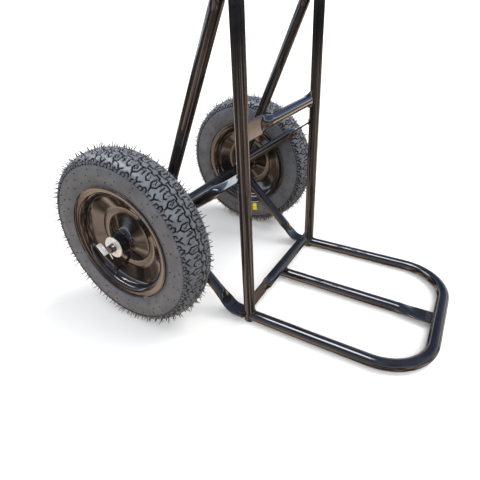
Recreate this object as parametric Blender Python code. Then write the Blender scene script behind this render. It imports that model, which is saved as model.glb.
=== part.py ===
"""Two-wheeled hand truck with a tubular toe, pneumatic tyres and welded steel tube frame.

Units are metres, +Z is up and the toe points to -Y. The origin is on the ground, in the middle of the
footprint: halfway between the toe's front and the tyres' rear, and halfway between the wheels.
"""

import math

import bmesh
import bpy
from mathutils import Matrix, Vector

# ---------------------------------------------------------------- driving dimensions
GAP = 0.0003                # clearance kept wherever two pieces meet
TUBE_R = 0.011              # frame tube, 22 mm outside diameter
TUBE_WALL = 0.0015
TUBE_SIDES = 12
HALF_SPACING = 0.157        # uprights' centre lines, either side of the middle
WHEEL_R = 0.1775
HALF_TRACK = 0.237          # wheel mid-planes, either side of the middle
AXLE_BEHIND = 0.215         # from the uprights back to the axle
TOE_LENGTH = 0.324          # from the uprights forward to the toe's front bar
TOE_CORNER_R = 0.089

UPRIGHT_Y = (TOE_LENGTH + TUBE_R - AXLE_BEHIND - WHEEL_R) / 2
AXLE_Y = UPRIGHT_Y + AXLE_BEHIND
AXLE_Z = WHEEL_R
FRONT_Y = UPRIGHT_Y - TOE_LENGTH

# handles
HANDLE_BEND_Z = 0.930       # where the uprights start to bend back
HANDLE_BEND_R = 0.075
HANDLE_ANGLE = math.radians(55)
HANDLE_STRAIGHT = 0.135
GRIP_R = 0.0165
GRIP_LENGTH = 0.118
GRIP_CAP = 0.004

# cross members, heights of their centre lines
BASE_BAR_Z = 0.0355
MIDDLE_BAR_Z = 0.379
UPPER_BAR_Z = 0.640
TOP_BAR_Z = 0.880

# side brace: from high on the upright, down to the axle, then forward to the upright's foot
BRACE_TOP_RISE = 0.614      # height where its centre line meets the upright's rear
BRACE_KNEE = (0.203, 0.184)     # behind the upright, above the ground
BRACE_KNEE_R = 0.048
BRACE_TOE = (0.038, 0.0125)
BRACE_TOE_R = 0.030
# side strut: from the middle of the upright to the knee, welded a little lower on the left
STRUT_TOP = {"left": 0.305, "right": 0.3245}
STRUT_SLOPE = -0.685
STRUT_REACH = 0.186         # how far behind the upright the strut runs
STRUT_ROLL = {"left": math.radians(-22), "right": 0.0}

# crushed tube ends
BLADE_INSIDE = 0.0003       # half of the slot left inside a crushed end
BLADE_LENGTH = 0.034
BLADE_TAPER = 0.034

# axle and hubs, distances from the middle
AXLE_R = 0.008
AXLE_TUBE_END = 0.1930
AXLE_END = 0.2895
HUB_IN = 0.1965
HUB_OUT = 0.2765
HUB_R = 0.0190
HUB_BORE = 0.0165
BEARING_WIDTH = 0.012
WASHER_R = 0.0210
WASHER_BORE = 0.0085
WASHER_THICK = 0.0025
PIN_X = 0.2840
PIN_R = 0.0016
PIN_HOLE_R = 0.0021
PIN_LEAN = math.radians(-45)
PIN_TOP = 0.0130            # how far the pin stands out above and below the axle's centre
PIN_BOTTOM = 0.0176
TAB_SIZE = (0.0115, 0.0255, 0.0012)     # the pin's leg that is hammered flat and bent over
TAB_CENTRE = (0.2885, 0.0110)           # distance from the middle, and offset along the tab
LEG_R = 0.0011
LEG_LENGTH = 0.0170
LEG_WAY = (-0.45, -0.89)                # the other leg hangs forward and down
BALL_COUNT = 7
BALL_R = 0.0021
BALL_CIRCLE_R = 0.01235
RACE_SKIN = 0.0016
CAGE_HALF = 0.0006

# wheel
WHEEL_SEGMENTS = 24
RIM_SHEET = 0.0018
RIM_LIP_R = 0.1170
RIM_HALF_WIDTH = 0.0325
BEAD_R = 0.1018
TYRE_HALF_WIDTH = 0.0385
TYRE_SKIN = 0.0050
TUBE_RING_R = 0.1360        # the inner tube's own centre circle
TUBE_RING_SECTION = 0.0260
TUBE_RING_SKIN = 0.0022
VALVE_ANGLE = math.radians(-62)     # round the wheel, from +Y towards +Z
VALVE_R = 0.0038
VALVE_LENGTH = 0.040
CAP_LENGTH = 0.010

SIDES = {"left": -1.0, "right": 1.0}
X, Y, Z = Vector((1, 0, 0)), Vector((0, 1, 0)), Vector((0, 0, 1))

# colour, roughness, metallic
FINISH = {
    "black_enamel": ((0.012, 0.012, 0.014), 0.18, 0.0),
    "rim_enamel": ((0.016, 0.013, 0.012), 0.15, 0.0),
    "tyre_rubber": ((0.035, 0.036, 0.038), 0.75, 0.0),
    "butyl": ((0.02, 0.02, 0.02), 0.6, 0.0),
    "grip_rubber": ((0.02, 0.02, 0.021), 0.7, 0.0),
    "zinc": ((0.72, 0.71, 0.68), 0.3, 1.0),
    "steel": ((0.45, 0.45, 0.46), 0.3, 1.0),
    "cap_plastic": ((0.02, 0.02, 0.02), 0.4, 0.0),
}


# ---------------------------------------------------------------- general helpers
def clear_scene():
    for obj in list(bpy.data.objects):
        bpy.data.objects.remove(obj, do_unlink=True)


def material(name):
    found = bpy.data.materials.get(name)
    if found:
        return found
    colour, roughness, metallic = FINISH[name]
    made = bpy.data.materials.new(name)
    made.use_nodes = True
    shader = made.node_tree.nodes["Principled BSDF"]
    shader.inputs["Base Color"].default_value = (*colour, 1.0)
    shader.inputs["Roughness"].default_value = roughness
    shader.inputs["Metallic"].default_value = metallic
    return made


def add_object(name, bm, finish=None, parent=None, location=(0, 0, 0)):
    """Turns a bmesh, drawn in world coordinates, into an object whose origin is at location."""
    bmesh.ops.recalc_face_normals(bm, faces=bm.faces)
    bm.transform(Matrix.Translation(-Vector(location)))
    mesh = bpy.data.meshes.new(name)
    bm.to_mesh(mesh)
    bm.free()
    obj = bpy.data.objects.new(name, mesh)
    bpy.context.scene.collection.objects.link(obj)
    if finish:
        mesh.materials.append(material(finish))
        mesh.shade_smooth()
        mesh.set_sharp_from_angle(angle=math.radians(35))
    else:
        obj.hide_render = True
        obj.display_type = "WIRE"
    if parent:
        obj.parent = parent
        obj.matrix_parent_inverse = parent.matrix_world.inverted()
    obj.location = location
    return obj


def cut(obj, *cutters):
    for cutter in cutters:
        boolean = obj.modifiers.new("cut_" + cutter.name, "BOOLEAN")
        boolean.operation = "DIFFERENCE"
        boolean.solver = "EXACT"
        boolean.object = cutter


def join(obj, other):
    boolean = obj.modifiers.new("join_" + other.name, "BOOLEAN")
    boolean.operation = "UNION"
    boolean.solver = "EXACT"
    boolean.object = other


def loft(bm, rings, closed=False):
    """Joins equal rings of vertices with quads, and the last ring to the first when closed."""
    count = len(rings[0])
    pairs = list(zip(rings, rings[1:]))
    if closed:
        pairs.append((rings[-1], rings[0]))
    for low, high in pairs:
        for i in range(count):
            j = (i + 1) % count
            bm.faces.new((low[i], low[j], high[j], high[i]))


def revolve(bm, profile, centre, segments):
    """Turns a closed outline of (distance along X, radius) round the X axis through centre.

    Radii are measured to the flats between corners, and one flat faces straight down.
    """
    corner = 1 / math.cos(math.pi / segments)
    rings = []
    for k in range(segments):
        angle = 2 * math.pi * (k + 0.5) / segments - math.pi / 2
        out = Vector((0, math.cos(angle), math.sin(angle))) * corner
        rings.append([bm.verts.new(Vector(centre) + X * x + out * r) for x, r in profile])
    loft(bm, rings, closed=True)


def ring_at(bm, centre, first, second, radius, sides=TUBE_SIDES):
    """A ring of vertices, its flats at the stated radius."""
    corner = radius / math.cos(math.pi / sides)
    ring = []
    for i in range(sides):
        angle = 2 * math.pi * (i + 0.5) / sides
        ring.append(bm.verts.new(centre + corner * (first * math.cos(angle) + second * math.sin(angle))))
    return ring


def rod(bm, start, end, radius, sides=TUBE_SIDES):
    """A solid round bar between two points, its flats at the stated radius."""
    start, end = Vector(start), Vector(end)
    direction = (end - start).normalized()
    guide = Z if abs(direction.x) > 0.9 else X
    side = (guide - direction * guide.dot(direction)).normalized()
    up = direction.cross(side)
    rings = [ring_at(bm, point, side, up, radius, sides) for point in (start, end)]
    loft(bm, rings)
    bm.faces.new(rings[0])
    bm.faces.new(rings[1])


def rod_cutter(name, start, end, radius, sides=TUBE_SIDES):
    bm = bmesh.new()
    rod(bm, start, end, radius, sides)
    return add_object(name, bm)


# ---------------------------------------------------------------- tubes
def round_corners(points, radii, steps=6):
    """A polyline with each inner corner replaced by an arc of the stated radius."""
    path = [points[0]]
    for before, corner, after, radius in zip(points, points[1:], points[2:], radii):
        arrive = (corner - before).normalized()
        leave = (after - corner).normalized()
        turn = arrive.angle(leave)
        reach = radius * math.tan(turn / 2)
        inward = (leave - arrive).normalized()
        centre = corner + inward * radius / math.cos(turn / 2)
        axis = arrive.cross(leave).normalized()
        first = corner - arrive * reach - centre
        for k in range(steps + 1):
            path.append(centre + Matrix.Rotation(turn * k / steps, 3, axis) @ first)
    path.append(points[-1])
    return path


def split_line(start, end, distances):
    """The points at the stated distances from start, towards end."""
    direction = (end - start).normalized()
    return [start + direction * d for d in distances]


def section(radius, half_slot, flat, sides):
    """Points across a tube, from round (flat = 0) to crushed (flat = 1), wide along the first axis."""
    corner = radius / math.cos(math.pi / sides)
    wide = math.pi * radius / 2
    points = []
    for i in range(sides):
        angle = 2 * math.pi * (i + 0.5) / sides
        a, b = math.cos(angle), math.sin(angle)
        crushed = half_slot * max(-1.0, min(1.0, b / 0.5))
        points.append((a * (corner + (wide - corner) * flat), b * corner + (crushed - b * corner) * flat))
    return points


def sweep(bm, path, wide_axis, flats, radius=TUBE_R, wall=TUBE_WALL, sides=TUBE_SIDES, hollow=True):
    """A tube along path. wide_axis is the direction that a crushed end spreads along."""
    outer, inner = [], []
    for k, point in enumerate(path):
        before = path[max(k - 1, 0)]
        after = path[min(k + 1, len(path) - 1)]
        along = ((point - before).normalized() + (after - point).normalized()).normalized()
        first = (wide_axis - along * wide_axis.dot(along)).normalized()
        second = along.cross(first)
        stretch = 1.0
        if 0 < k < len(path) - 1:
            stretch = 1.0 / max(0.5, math.cos((point - before).angle(after - point) / 2))
        for rings, r, slot in ((outer, radius, BLADE_INSIDE + wall), (inner, radius - wall, BLADE_INSIDE)):
            ring = section(r, slot, flats[k], sides)
            rings.append([bm.verts.new(point + first * a + second * b * stretch) for a, b in ring])
    loft(bm, outer)
    if hollow:
        loft(bm, inner)
        for k in (0, -1):
            for i in range(sides):
                j = (i + 1) % sides
                bm.faces.new((outer[k][i], outer[k][j], inner[k][j], inner[k][i]))
    else:
        bmesh.ops.delete(bm, geom=[vert for ring in inner for vert in ring], context="VERTS")
        bm.faces.new(outer[0])
        bm.faces.new(outer[-1])


def crushed_run(start, end, at_start=True, at_end=True):
    """Path points and flatness for a straight tube with one or both ends crushed."""
    length = (end - start).length
    eased = ((0.0, 1.0), (BLADE_LENGTH, 1.0), (BLADE_LENGTH + 0.3 * BLADE_TAPER, 0.8),
             (BLADE_LENGTH + 0.65 * BLADE_TAPER, 0.25), (BLADE_LENGTH + BLADE_TAPER, 0.0))
    stations = list(eased) if at_start else [(0.0, 0.0)]
    stations += [(length - d, f) for d, f in reversed(eased)] if at_end else [(length, 0.0)]
    distances = [d for d, _ in stations]
    return split_line(start, end, distances), [f for _, f in stations]


def at_upright(side, behind, height):
    """A point in an upright's side plane, measured back from the upright and up from the ground."""
    return Vector((SIDES[side] * HALF_SPACING, UPRIGHT_Y + behind, height))


# ---------------------------------------------------------------- frame
def upright_path(side):
    foot = at_upright(side, 0, 0)
    corner = at_upright(side, 0, HANDLE_BEND_Z + HANDLE_BEND_R * math.tan(HANDLE_ANGLE / 2))
    lean = Y * math.sin(HANDLE_ANGLE) + Z * math.cos(HANDLE_ANGLE)
    tip = corner + lean * (HANDLE_BEND_R * math.tan(HANDLE_ANGLE / 2) + HANDLE_STRAIGHT)
    return round_corners([foot, corner, tip], [HANDLE_BEND_R]), lean


def make_uprights():
    cutters = {}
    for side in SIDES:
        path, _ = upright_path(side)
        bm = bmesh.new()
        sweep(bm, path, X, [0.0] * len(path))
        add_object(f"upright_{side}", bm, "black_enamel")
        low = at_upright(side, 0, -0.05)
        high = at_upright(side, 0, HANDLE_BEND_Z)
        cutters[side] = rod_cutter(f"upright_{side}_cutter", low, high, TUBE_R + GAP)
    return cutters


def make_grips():
    for side in SIDES:
        path, lean = upright_path(side)
        end = path[-1] + lean * (GAP + GRIP_CAP)
        start = end - lean * GRIP_LENGTH
        bm = bmesh.new()
        rings = []
        stations = ((0.0, 0.92), (0.004, 1.0), (GRIP_LENGTH - 0.004, 1.0), (GRIP_LENGTH, 0.75))
        first, second = X, lean.cross(X)
        for distance, share in stations:
            rings.append(ring_at(bm, start + lean * distance, first, second, GRIP_R * share))
        bore = TUBE_R + GAP
        rings.insert(0, ring_at(bm, start, first, second, bore))
        rings.insert(0, ring_at(bm, end - lean * GRIP_CAP, first, second, bore))
        loft(bm, rings)
        bm.faces.new(rings[0])
        bm.faces.new(rings[-1])
        add_object(f"grip_{side}", bm, "grip_rubber")


def make_toe(upright_cutters):
    corners = [Vector((-HALF_SPACING, UPRIGHT_Y, TUBE_R)), Vector((-HALF_SPACING, FRONT_Y, TUBE_R)),
               Vector((HALF_SPACING, FRONT_Y, TUBE_R)), Vector((HALF_SPACING, UPRIGHT_Y, TUBE_R))]
    path = round_corners(corners, [TOE_CORNER_R, TOE_CORNER_R])
    bm = bmesh.new()
    sweep(bm, path, Z, [0.0] * len(path))
    loop = add_object("toe_loop", bm, "black_enamel")
    cut(loop, *upright_cutters.values())

    front = Vector((0, FRONT_Y + TUBE_R / math.cos(math.pi / TUBE_SIDES) + GAP, TUBE_R))
    rear = Vector((0, UPRIGHT_Y + TUBE_R, BASE_BAR_Z - 2 * TUBE_R - GAP))
    path, flats = crushed_run(front, rear, at_end=False)
    bm = bmesh.new()
    sweep(bm, path, X, flats)
    add_object("toe_middle_tube", bm, "black_enamel")


def make_crossbars(upright_cutters):
    heights = {"base_crossbar": BASE_BAR_Z, "middle_crossbar": MIDDLE_BAR_Z,
               "upper_crossbar": UPPER_BAR_Z, "top_crossbar": TOP_BAR_Z}
    reach = X * (HALF_SPACING - TUBE_R / 2)
    for name, height in heights.items():
        middle = Vector((0, UPRIGHT_Y, height))
        path, flats = crushed_run(middle - reach, middle + reach)
        bm = bmesh.new()
        sweep(bm, path, Z, flats)
        cut(add_object(name, bm, "black_enamel"), *upright_cutters.values())


def brace_path(side):
    """From the upright's rear, down to the knee by the axle, and forward to the upright's foot."""
    knee = at_upright(side, *BRACE_KNEE)
    toe = at_upright(side, *BRACE_TOE)
    top = at_upright(side, TUBE_R, BRACE_TOP_RISE)
    top += (top - knee).normalized() * 0.006
    foot = at_upright(side, 0.0045, BRACE_TOE[1])
    return [top, knee, toe, foot]


def make_side_frames(upright_cutters):
    for side in SIDES:
        top, knee, toe, foot = brace_path(side)
        upper = crushed_run(top, knee, at_end=False)
        bend = round_corners([top, knee, toe], [BRACE_KNEE_R])[1:-1]
        lower = round_corners([knee, toe, foot], [BRACE_TOE_R], steps=3)[1:]
        squash_start = toe + (knee - toe).normalized() * (BLADE_TAPER + 0.022)
        squash_half = toe + (knee - toe).normalized() * (BLADE_TAPER / 2 + 0.018)
        path = upper[0][:-1] + bend + [squash_start, squash_half] + lower
        flats = upper[1][:-1] + [0.0] * len(bend) + [0.0, 0.5] + [1.0] * len(lower)
        bm = bmesh.new()
        sweep(bm, path, X, flats)
        brace = add_object(f"side_brace_{side}", bm, "black_enamel")
        cut(brace, upright_cutters[side])

        bm = bmesh.new()
        sweep(bm, path[3:], X, flats[3:], radius=TUBE_R + GAP, hollow=False)
        brace_cutter = add_object(f"side_brace_{side}_cutter", bm)

        height = STRUT_TOP[side]
        start = at_upright(side, TUBE_R / 2, height - STRUT_SLOPE * TUBE_R / 2)
        end = at_upright(side, STRUT_REACH, height + STRUT_SLOPE * (STRUT_REACH - TUBE_R))
        path, flats = crushed_run(start, end, at_end=False)
        wide = Matrix.Rotation(STRUT_ROLL[side], 3, (end - start).normalized()) @ X
        bm = bmesh.new()
        sweep(bm, path, wide, flats)
        cut(add_object(f"side_strut_{side}", bm, "black_enamel"), upright_cutters[side], brace_cutter)


# ---------------------------------------------------------------- axle
def make_axle():
    centre = Vector((0, AXLE_Y, AXLE_Z))
    path = [centre - X * AXLE_TUBE_END, centre + X * AXLE_TUBE_END]
    bm = bmesh.new()
    sweep(bm, path, Z, [0.0, 0.0], wall=TUBE_R - AXLE_R - GAP)
    add_object("axle_tube", bm, "black_enamel")

    bm = bmesh.new()
    chamfer = 0.0015
    rings = []
    for x, r in ((-AXLE_END, AXLE_R - chamfer), (chamfer - AXLE_END, AXLE_R),
                 (AXLE_END - chamfer, AXLE_R), (AXLE_END, AXLE_R - chamfer)):
        rings.append(ring_at(bm, centre + X * x, Z, -Y, r))
    loft(bm, rings)
    bm.faces.new(rings[0])
    bm.faces.new(rings[-1])
    axle = add_object("axle_rod", bm, "zinc")
    lean = Z * math.cos(PIN_LEAN) + Y * math.sin(PIN_LEAN)
    for side, sign in SIDES.items():
        middle = centre + X * sign * PIN_X
        cut(axle, rod_cutter(f"pin_hole_{side}", middle - lean * 0.012, middle + lean * 0.012, PIN_HOLE_R, 8))


def make_washer(name, side, inner_x):
    near, far = inner_x, inner_x + WASHER_THICK
    sign = SIDES[side]
    bm = bmesh.new()
    profile = [(sign * near, WASHER_BORE), (sign * near, WASHER_R), (sign * far, WASHER_R), (sign * far, WASHER_BORE)]
    revolve(bm, profile, (0, AXLE_Y, AXLE_Z), 24)
    add_object(name, bm, "zinc")


def make_split_pin(side):
    """A pin leaning through the axle's end. One leg is bent over as a flat tab and the other hangs."""
    sign = SIDES[side]
    centre = Vector((sign * PIN_X, AXLE_Y, AXLE_Z))
    lean = Z * math.cos(PIN_LEAN) + Y * math.sin(PIN_LEAN)
    bottom = centre - lean * PIN_BOTTOM
    bm = bmesh.new()
    rod(bm, bottom, centre + lean * PIN_TOP, PIN_R, 8)
    pin = add_object(f"split_pin_{side}", bm, "zinc")

    width, length, thick = TAB_SIZE
    along = lean.cross(X)
    if along.z < 0:
        along = -along
    middle = Vector((sign * TAB_CENTRE[0], AXLE_Y, AXLE_Z)) - lean * PIN_BOTTOM + along * TAB_CENTRE[1]
    bm = bmesh.new()
    corners = []
    for end in (-1, 1):
        ring = []
        for a, b in ((-1, -1), (1, -1), (1, 1), (-1, 1)):
            ring.append(bm.verts.new(middle + (along * end * length + X * a * width + lean * b * thick) / 2))
        corners.append(ring)
    loft(bm, corners)
    bm.faces.new(corners[0])
    bm.faces.new(corners[1])
    join(pin, add_object(f"pin_tab_{side}", bm))

    start = centre - lean * 0.0115
    way = (Y * LEG_WAY[0] + Z * LEG_WAY[1]).normalized()
    bm = bmesh.new()
    rod(bm, start, start + way * LEG_LENGTH, LEG_R, 8)
    join(pin, add_object(f"pin_leg_{side}", bm))


# ---------------------------------------------------------------- wheels
def rim_line():
    """Middle of the pressed sheet, outward from the hub, as (distance from the mid-plane, radius)."""
    return [(0.0170, HUB_R + GAP + 0.0012), (0.0125, 0.0235), (0.0018, 0.0500), (0.0018, 0.0640),
            (0.0120, 0.0915), (0.0185, 0.0992), (0.0262, 0.1004), (0.0302, 0.1060), (RIM_HALF_WIDTH, RIM_LIP_R)]


def thicken(line, thick):
    """A closed outline standing half of thick either side of a line."""
    outline_a, outline_b = [], []
    for k, (x, r) in enumerate(line):
        x0, r0 = line[max(k - 1, 0)]
        x1, r1 = line[min(k + 1, len(line) - 1)]
        length = math.hypot(x1 - x0, r1 - r0)
        nx, nr = -(r1 - r0) / length, (x1 - x0) / length
        outline_a.append((x + nx * thick / 2, r + nr * thick / 2))
        outline_b.append((x - nx * thick / 2, r - nr * thick / 2))
    return outline_a + outline_b[::-1]


def tyre_half():
    """Outer line of the tyre, from the bead to the middle of the tread."""
    return [(0.0205, BEAD_R), (0.0250, BEAD_R), (0.0290, 0.1062), (0.0300, 0.1165), (0.0355, 0.1260),
            (TYRE_HALF_WIDTH, 0.1400), (0.0375, 0.1530), (0.0335, 0.1655), (0.0200, 0.1745), (0.0, WHEEL_R)]


def tyre_outline():
    outer = tyre_half()
    inner = [(0.0205, 0.1065), (0.0262, 0.1120), (TYRE_HALF_WIDTH - TYRE_SKIN, 0.1400),
             (0.0300, 0.1575), (0.0180, 0.1672), (0.0, WHEEL_R - 1.4 * TYRE_SKIN)]
    return ring_outline(outer, inner)


def ring_outline(outer, inner):
    """A closed section from half lines that run from the bead to the middle."""
    mirror_outer = [(-x, r) for x, r in outer[-2::-1]]
    mirror_inner = [(-x, r) for x, r in inner[:-1]]
    return outer + mirror_outer + mirror_inner + inner[::-1]


def valve_ends(side):
    """Inner and outer end of the valve stem, which leaves through the rim's sloping wall."""
    sign = SIDES[side]
    out = Y * math.cos(VALVE_ANGLE) + Z * math.sin(VALVE_ANGLE)
    hub = Vector((sign * HALF_TRACK, AXLE_Y, AXLE_Z))
    root = hub + X * sign * 0.0035 + out * 0.1035
    way = (X * sign * 0.62 - out * 0.78).normalized()
    return root, root + way * VALVE_LENGTH, way


def make_wheel(side):
    sign = SIDES[side]
    hub = Vector((sign * HALF_TRACK, AXLE_Y, AXLE_Z))
    wheel = bpy.data.objects.new(f"wheel_{side}_axis", None)
    wheel.location = hub
    bpy.context.scene.collection.objects.link(wheel)
    bpy.context.view_layer.update()

    def add(name, bm, finish):
        return add_object(f"wheel_{side}_{name}", bm, finish, wheel, hub)

    bm = bmesh.new()
    revolve(bm, tyre_outline(), hub, WHEEL_SEGMENTS)
    add("tyre", bm, "tyre_rubber")

    root, tip, way = valve_ends(side)
    hole = rod_cutter(f"valve_hole_{side}", root - way * 0.03, tip, VALVE_R + GAP, 10)
    for name, facing in (("rim_outer", sign), ("rim_inner", -sign)):
        bm = bmesh.new()
        profile = thicken([(facing * x, r) for x, r in rim_line()], RIM_SHEET)
        revolve(bm, profile, hub, WHEEL_SEGMENTS)
        rim = add(name, bm, "rim_enamel")
        if facing == sign:
            cut(rim, hole)

    bm = bmesh.new()
    skin = []
    for radius in (TUBE_RING_SECTION, TUBE_RING_SECTION - TUBE_RING_SKIN):
        turns = [2 * math.pi * k / 10 for k in range(10)]
        skin.append([(radius * math.cos(t), TUBE_RING_R + radius * math.sin(t)) for t in turns])
    revolve(bm, skin[0], hub, WHEEL_SEGMENTS // 2)
    revolve(bm, skin[1], hub, WHEEL_SEGMENTS // 2)
    bmesh.ops.recalc_face_normals(bm, faces=bm.faces)
    tube = add("inner_tube", bm, "butyl")
    cut(tube, hole)

    bm = bmesh.new()
    length = HUB_OUT - HUB_IN
    revolve(bm, [(-length / 2, HUB_BORE), (-length / 2, HUB_R), (length / 2, HUB_R), (length / 2, HUB_BORE)],
            Vector((sign * (HUB_IN + HUB_OUT) / 2, AXLE_Y, AXLE_Z)), 16)
    add("hub", bm, "rim_enamel")
    make_bearings(side, add)

    bm = bmesh.new()
    first = way.cross(X).normalized()
    second = way.cross(first)
    stem_end = tip - way * (CAP_LENGTH - 0.002)
    rings = [ring_at(bm, p, first, second, r, 10) for p, r in
             ((stem_end, VALVE_R * 0.45), (root, VALVE_R * 0.45), (root, VALVE_R), (stem_end, VALVE_R))]
    loft(bm, rings, closed=True)
    add("valve_stem", bm, "butyl")

    bm = bmesh.new()
    start = stem_end + way * GAP
    rings = [ring_at(bm, start + way * d, first, second, r, 10) for d, r in
             ((0.0, VALVE_R), (CAP_LENGTH - 0.003, VALVE_R), (CAP_LENGTH - 0.001, VALVE_R * 0.7))]
    loft(bm, rings)
    bm.faces.new(rings[0])
    bm.faces.new(rings[-1])
    add("valve_cap", bm, "cap_plastic")


def make_bearings(side, add):
    """A ball bearing in each end of the hub: outer race, balls in their cage, and inner race."""
    sign = SIDES[side]
    middle = (0, AXLE_Y, AXLE_Z)
    for end, start in (("inboard", HUB_IN), ("outboard", HUB_OUT - BEARING_WIDTH)):
        near, far = sign * start, sign * (start + BEARING_WIDTH)
        high = HUB_BORE - GAP
        bm = bmesh.new()
        revolve(bm, [(near, high - RACE_SKIN), (near, high), (far, high), (far, high - RACE_SKIN)], middle, 16)
        add(f"{end}_outer_race", bm, "steel")

        low = AXLE_R + GAP
        bm = bmesh.new()
        revolve(bm, [(near, low), (near, low + RACE_SKIN), (far, low + RACE_SKIN), (far, low)], middle, 16)
        add_object(f"bearing_{side}_{end}_inner_race", bm, "steel")

        centre = (near + far) / 2
        bm = bmesh.new()
        profile = [(centre - CAGE_HALF, BALL_CIRCLE_R - CAGE_HALF), (centre - CAGE_HALF, BALL_CIRCLE_R + CAGE_HALF),
                   (centre + CAGE_HALF, BALL_CIRCLE_R + CAGE_HALF), (centre + CAGE_HALF, BALL_CIRCLE_R - CAGE_HALF)]
        revolve(bm, profile, middle, 2 * BALL_COUNT)
        cage = add(f"{end}_balls_and_cage", bm, "steel")
        bm = bmesh.new()
        for k in range(BALL_COUNT):
            angle = 2 * math.pi * k / BALL_COUNT
            place = Vector((centre, AXLE_Y, AXLE_Z)) + (Y * math.cos(angle) + Z * math.sin(angle)) * BALL_CIRCLE_R
            bmesh.ops.create_uvsphere(bm, u_segments=6, v_segments=4, radius=BALL_R,
                                      matrix=Matrix.Translation(place))
        join(cage, add_object(f"balls_{side}_{end}", bm))


def main():
    clear_scene()
    upright_cutters = make_uprights()
    make_grips()
    make_toe(upright_cutters)
    make_crossbars(upright_cutters)
    make_side_frames(upright_cutters)
    make_axle()
    for side in SIDES:
        make_wheel(side)
        make_washer(f"washer_inner_{side}", side, AXLE_TUBE_END + GAP)
        make_washer(f"washer_outer_{side}", side, HUB_OUT + GAP)
        make_split_pin(side)


main()
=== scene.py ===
import math
import random

import bmesh
import bpy
import numpy as np
from mathutils import Matrix, Vector


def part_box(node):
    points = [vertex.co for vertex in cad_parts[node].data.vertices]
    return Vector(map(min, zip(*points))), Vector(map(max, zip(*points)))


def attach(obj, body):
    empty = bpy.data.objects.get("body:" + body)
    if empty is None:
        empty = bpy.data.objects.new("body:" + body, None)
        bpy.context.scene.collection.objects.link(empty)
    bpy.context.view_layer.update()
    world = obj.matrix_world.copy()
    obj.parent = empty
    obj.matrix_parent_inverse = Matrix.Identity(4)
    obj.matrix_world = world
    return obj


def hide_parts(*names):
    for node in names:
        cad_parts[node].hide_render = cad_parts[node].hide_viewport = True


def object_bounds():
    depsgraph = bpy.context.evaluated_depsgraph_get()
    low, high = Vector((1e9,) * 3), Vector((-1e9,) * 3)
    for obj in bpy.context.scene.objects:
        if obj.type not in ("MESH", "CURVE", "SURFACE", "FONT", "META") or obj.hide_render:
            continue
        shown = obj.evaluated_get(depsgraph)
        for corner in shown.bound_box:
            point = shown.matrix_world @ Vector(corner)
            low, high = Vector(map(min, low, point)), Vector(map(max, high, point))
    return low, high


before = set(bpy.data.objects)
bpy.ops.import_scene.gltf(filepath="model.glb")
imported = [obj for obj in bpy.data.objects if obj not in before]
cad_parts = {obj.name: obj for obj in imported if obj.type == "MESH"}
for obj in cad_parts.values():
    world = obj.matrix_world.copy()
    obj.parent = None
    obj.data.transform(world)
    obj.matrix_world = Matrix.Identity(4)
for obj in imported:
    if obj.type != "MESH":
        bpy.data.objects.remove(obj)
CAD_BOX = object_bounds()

X, Y, Z = Vector((1, 0, 0)), Vector((0, 1, 0)), Vector((0, 0, 1))
SIDES = {"left": -1.0, "right": 1.0}


# -------- sizes read from the frame
def middle_of(node):
    low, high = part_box(node)
    return (low + high) / 2


def size_of(node):
    low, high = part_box(node)
    return high - low


TUBE_R = size_of("upright_right").x / 2
HALF_SPACING = middle_of("upright_right").x
UPRIGHT_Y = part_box("upright_right")[0].y + TUBE_R
FRONT_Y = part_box("toe_loop")[0].y + TUBE_R
AXLE = middle_of("axle_rod")
AXLE_R = size_of("axle_rod").z / 2
AXLE_END = size_of("axle_rod").x / 2
AXLE_TUBE_END = size_of("axle_tube").x / 2
HALF_TRACK = middle_of("wheel_right_tyre").x
WHEEL_R = size_of("wheel_right_tyre").z / 2
HUB_R = size_of("wheel_right_hub").z / 2
HUB_IN, HUB_OUT = (corner.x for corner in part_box("wheel_right_hub"))
WASHER_R = size_of("washer_outer_right").z / 2
BAR_Z = {name: middle_of(name).z for name in
         ("base_crossbar", "middle_crossbar", "upper_crossbar", "top_crossbar")}

# -------- sizes of the design
TUBE_WALL = 0.0015
TUBE_SIDES = 40
PATH_STEP = 0.004
BORE_DEPTH = 0.03  # how far an open tube end is hollow
TOE_CORNER_R = 0.089
TOE_END_Y = UPRIGHT_Y - 0.004  # the toe loop's open ends, inside the uprights
HANDLE_BEND_Z = 0.930
HANDLE_BEND_R = 0.075
HANDLE_ANGLE = math.radians(55)
HANDLE_STRAIGHT = 0.135
GRIP_R = 0.0165
GRIP_LENGTH = 0.118
GRIP_PROUD = 0.004  # how far the grip's dome covers the tube's end
GRIP_RING_PITCH = 0.0052
GRIP_RING_DEPTH = 0.0014
BRACE_TOP_RISE = 0.614
BRACE_KNEE = (0.203, 0.184)  # behind the upright, and height
BRACE_KNEE_R = 0.048
BRACE_TOE = (0.038, 0.0125)
BRACE_TOE_R = 0.030
STRUT_TOP = {"left": 0.305, "right": 0.3245}
STRUT_SLOPE = -0.685
STRUT_REACH = 0.186
STRUT_ROLL = {"left": math.radians(-22), "right": 0.0}

# where crushed ends begin, in tube radii from the upright's centre line
BAR_SEAT, STAY_SEAT, FOOT_SEAT = 0.7, 0.8, 0.6

# crushed ends: flat length, length of the shoulder, and how far the shoulder's edge bows
LEFT_BAR_BLADE = {"base_crossbar": (0.053, 0.016, 0.014), "middle_crossbar": (0.048, 0.034, 0.016)}
BAR_BLADE = (0.020, 0.014, 0.014)
STRUT_BLADE = {"left": (0.026, 0.042, 0.010), "right": (0.030, 0.026, 0.010)}
BRACE_BLADE = (0.030, 0.026, 0.010)
TOE_BLADE = (0.028, 0.034, 0.008)
FOOT_BLADE = (0.046, 0.030, 0.010)
BLADE_SLOT = 0.0003  # half the gap left between the two crushed walls
BLADE_SQUARENESS = 2.2  # over 1, and a blade is flat with rounded edges

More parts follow.
